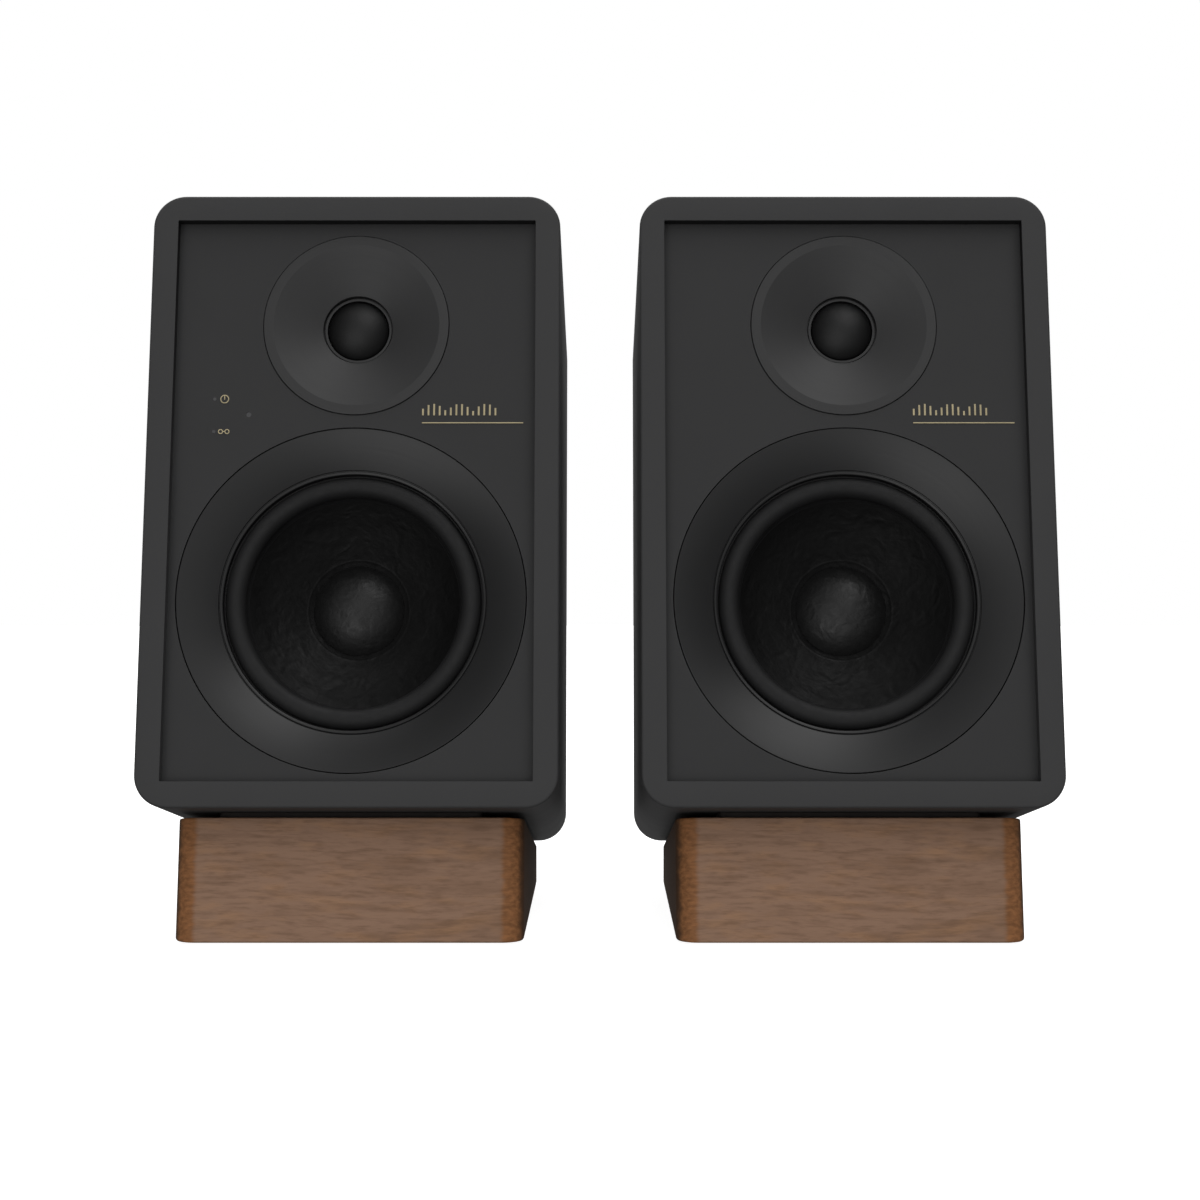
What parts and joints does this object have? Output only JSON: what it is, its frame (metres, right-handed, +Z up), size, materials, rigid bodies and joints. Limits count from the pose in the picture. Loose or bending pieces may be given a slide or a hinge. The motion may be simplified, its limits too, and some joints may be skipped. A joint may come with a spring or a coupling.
{
  "type": "desktop speakers",
  "caption": "Powered desktop speaker pair: dark round-cornered two-way cabinets leaning back on walnut wedge stands, with knobs and sockets behind.",
  "frame": {"origin": "on the surface the stands rest on, at the centre of the pair's box", "axes": "+X to the right as seen from the front, +Y towards the back, +Z up; the fronts face -Y"},
  "size_m": [0.3074, 0.1992, 0.254],
  "materials": {
    "cabinet_paint": "satin dark grey paint over fibreboard",
    "back_paint": "matte dark grey paint over fibreboard",
    "baffle_paint": "matte dark grey paint over fibreboard",
    "ring_plastic": "satin spun-finish moulding",
    "guide_plastic": "satin spun-finish moulding",
    "basket_steel": "black coated pressed steel",
    "magnet_ferrite": "matte ferrite between plated plates",
    "magnet_steel": "plated steel cup",
    "cone_pulp": "black wrinkled paper pulp, slight sheen",
    "cap_pulp": "black wrinkled paper pulp, slight sheen",
    "coil_copper": "enamelled copper on a thin former",
    "surround_rubber": "satin black butyl rubber",
    "spider_cloth": "resin-stiffened cloth",
    "dome_cloth": "coated black cloth with a soft sheen",
    "port_plastic": "matte moulded tube",
    "pad_rubber": "matte foamed rubber",
    "stand_walnut": "oiled walnut veneer, satin",
    "foot_rubber": "matte rubber",
    "screw_steel": "black oxide steel",
    "mark_gold": "thin gold print",
    "lens_smoke": "smoked clear plastic",
    "panel_metal": "black powder-coated plate",
    "board_green": "green circuit board with parts",
    "board_brown": "filter board with coils and capacitors",
    "winding_copper": "varnished copper winding",
    "inlet_plastic": "black moulding",
    "rocker_plastic": "black moulding",
    "knob_plastic": "soft black moulding",
    "button_plastic": "dark grey moulding",
    "socket_brass": "gold-plated shells",
    "socket_plastic": "black moulding",
    "terminal_plastic": "black moulding",
    "lever_red": "red moulding",
    "lever_black": "black moulding"
  },
  "bodies": {
    "left_speaker": {"cabinet_l": "cabinet_paint", "back_board_l": "back_paint", "baffle_l": "baffle_paint", "trim_ring_l": "ring_plastic", "basket_l": "basket_steel", "woofer_magnet_l": "magnet_ferrite", "surround_l": "surround_rubber", "spider_l": "spider_cloth", "waveguide_l": "guide_plastic", "tweeter_magnet_l": "magnet_steel", "port_l": "port_plastic", "isolation_pad_l": "pad_rubber", "stand_l": "stand_walnut", "feet_l": "foot_rubber", "screws_l": "screw_steel", "front_marks_l": "mark_gold", "front_lenses": "lens_smoke", "amp_panel": "panel_metal", "amp_board": "board_green", "transformer": "winding_copper", "mains_inlet": "inlet_plastic", "line_sockets": "socket_brass", "digital_sockets": "socket_plastic", "speaker_out": "terminal_plastic"},
    "right_speaker": {"cabinet_r": "cabinet_paint", "back_board_r": "back_paint", "baffle_r": "baffle_paint", "trim_ring_r": "ring_plastic", "basket_r": "basket_steel", "woofer_magnet_r": "magnet_ferrite", "surround_r": "surround_rubber", "spider_r": "spider_cloth", "waveguide_r": "guide_plastic", "tweeter_magnet_r": "magnet_steel", "port_r": "port_plastic", "isolation_pad_r": "pad_rubber", "stand_r": "stand_walnut", "feet_r": "foot_rubber", "screws_r": "screw_steel", "front_marks_r": "mark_gold", "speaker_in": "terminal_plastic", "crossover": "board_brown"},
    "left_cone": {"cone_l": "cone_pulp", "voice_coil_l": "coil_copper", "dust_cap_l": "cap_pulp"},
    "right_cone": {"cone_r": "cone_pulp", "voice_coil_r": "coil_copper", "dust_cap_r": "cap_pulp"},
    "left_dome": {"dome_l": "dome_cloth"},
    "right_dome": {"dome_r": "dome_cloth"},
    "volume_knob": {"volume_knob": "knob_plastic"},
    "treble_knob": {"treble_knob": "knob_plastic"},
    "bass_knob": {"bass_knob": "knob_plastic"},
    "power_rocker": {"power_rocker": "rocker_plastic"},
    "pair_button": {"pair_button": "button_plastic"},
    "lever_out_red": {"lever_out_red": "lever_red"},
    "lever_out_black": {"lever_out_black": "lever_black"},
    "lever_in_red": {"lever_in_red": "lever_red"},
    "lever_in_black": {"lever_in_black": "lever_black"}
  },
  "joints": [
    {"name": "pair_spacing", "type": "slide", "parent": "left_speaker", "child": "right_speaker", "axis": [1, 0, 0], "range_m": [-0.02, 0.25]},
    {"name": "left_cone_travel", "type": "slide", "parent": "left_speaker", "child": "left_cone", "axis": [0, -0.9848, 0.1736], "range_m": [-0.0025, 0.0025], "stiffness_N_per_m": 900, "deforming": ["surround_l", "spider_l"]},
    {"name": "left_dome_travel", "type": "slide", "parent": "left_speaker", "child": "left_dome", "axis": [0, -0.9848, 0.1736], "range_m": [-0.0003, 0.0003], "stiffness_N_per_m": 1500},
    {"name": "right_cone_travel", "type": "slide", "parent": "right_speaker", "child": "right_cone", "axis": [0, -0.9848, 0.1736], "range_m": [-0.0025, 0.0025], "stiffness_N_per_m": 900, "deforming": ["surround_r", "spider_r"]},
    {"name": "right_dome_travel", "type": "slide", "parent": "right_speaker", "child": "right_dome", "axis": [0, -0.9848, 0.1736], "range_m": [-0.0003, 0.0003], "stiffness_N_per_m": 1500},
    {"name": "volume_turn", "type": "hinge", "parent": "left_speaker", "child": "volume_knob", "pos_m": [-0.05065, 0.0875, 0.13097], "axis": [0, 0.9848, -0.1736], "range_deg": [-150, 150]},
    {"name": "treble_turn", "type": "hinge", "parent": "left_speaker", "child": "treble_knob", "pos_m": [-0.08365, 0.0875, 0.13097], "axis": [0, 0.9848, -0.1736], "range_deg": [-150, 150]},
    {"name": "bass_turn", "type": "hinge", "parent": "left_speaker", "child": "bass_knob", "pos_m": [-0.11365, 0.0875, 0.13097], "axis": [0, 0.9848, -0.1736], "range_deg": [-150, 150]},
    {"name": "power_switch", "type": "hinge", "parent": "left_speaker", "child": "power_rocker", "pos_m": [-0.09565, 0.06602, 0.04947], "axis": [-1, 0, 0], "range_deg": [0, 14]},
    {"name": "pair_press", "type": "slide", "parent": "left_speaker", "child": "pair_button", "axis": [0, -0.9848, 0.1736], "range_m": [0, 0.0011], "stiffness_N_per_m": 300, "springref_m": -0.0005},
    {"name": "out_red_lever_press", "type": "hinge", "parent": "left_speaker", "child": "lever_out_red", "pos_m": [-0.09615, 0.08198, 0.0893], "axis": [-1, 0, 0], "range_deg": [0, 13], "stiffness_Nm_per_rad": 0.12, "springref_deg": -5.73},
    {"name": "out_black_lever_press", "type": "hinge", "parent": "left_speaker", "child": "lever_out_black", "pos_m": [-0.11515, 0.08198, 0.0893], "axis": [-1, 0, 0], "range_deg": [0, 13], "stiffness_Nm_per_rad": 0.12, "springref_deg": -5.73},
    {"name": "in_red_lever_press", "type": "hinge", "parent": "right_speaker", "child": "lever_in_red", "pos_m": [0.09315, 0.08268, 0.09324], "axis": [-1, 0, 0], "range_deg": [0, 13], "stiffness_Nm_per_rad": 0.12, "springref_deg": -5.73},
    {"name": "in_black_lever_press", "type": "hinge", "parent": "right_speaker", "child": "lever_in_black", "pos_m": [0.07415, 0.08268, 0.09324], "axis": [-1, 0, 0], "range_deg": [0, 13], "stiffness_Nm_per_rad": 0.12, "springref_deg": -5.73}
  ]
}
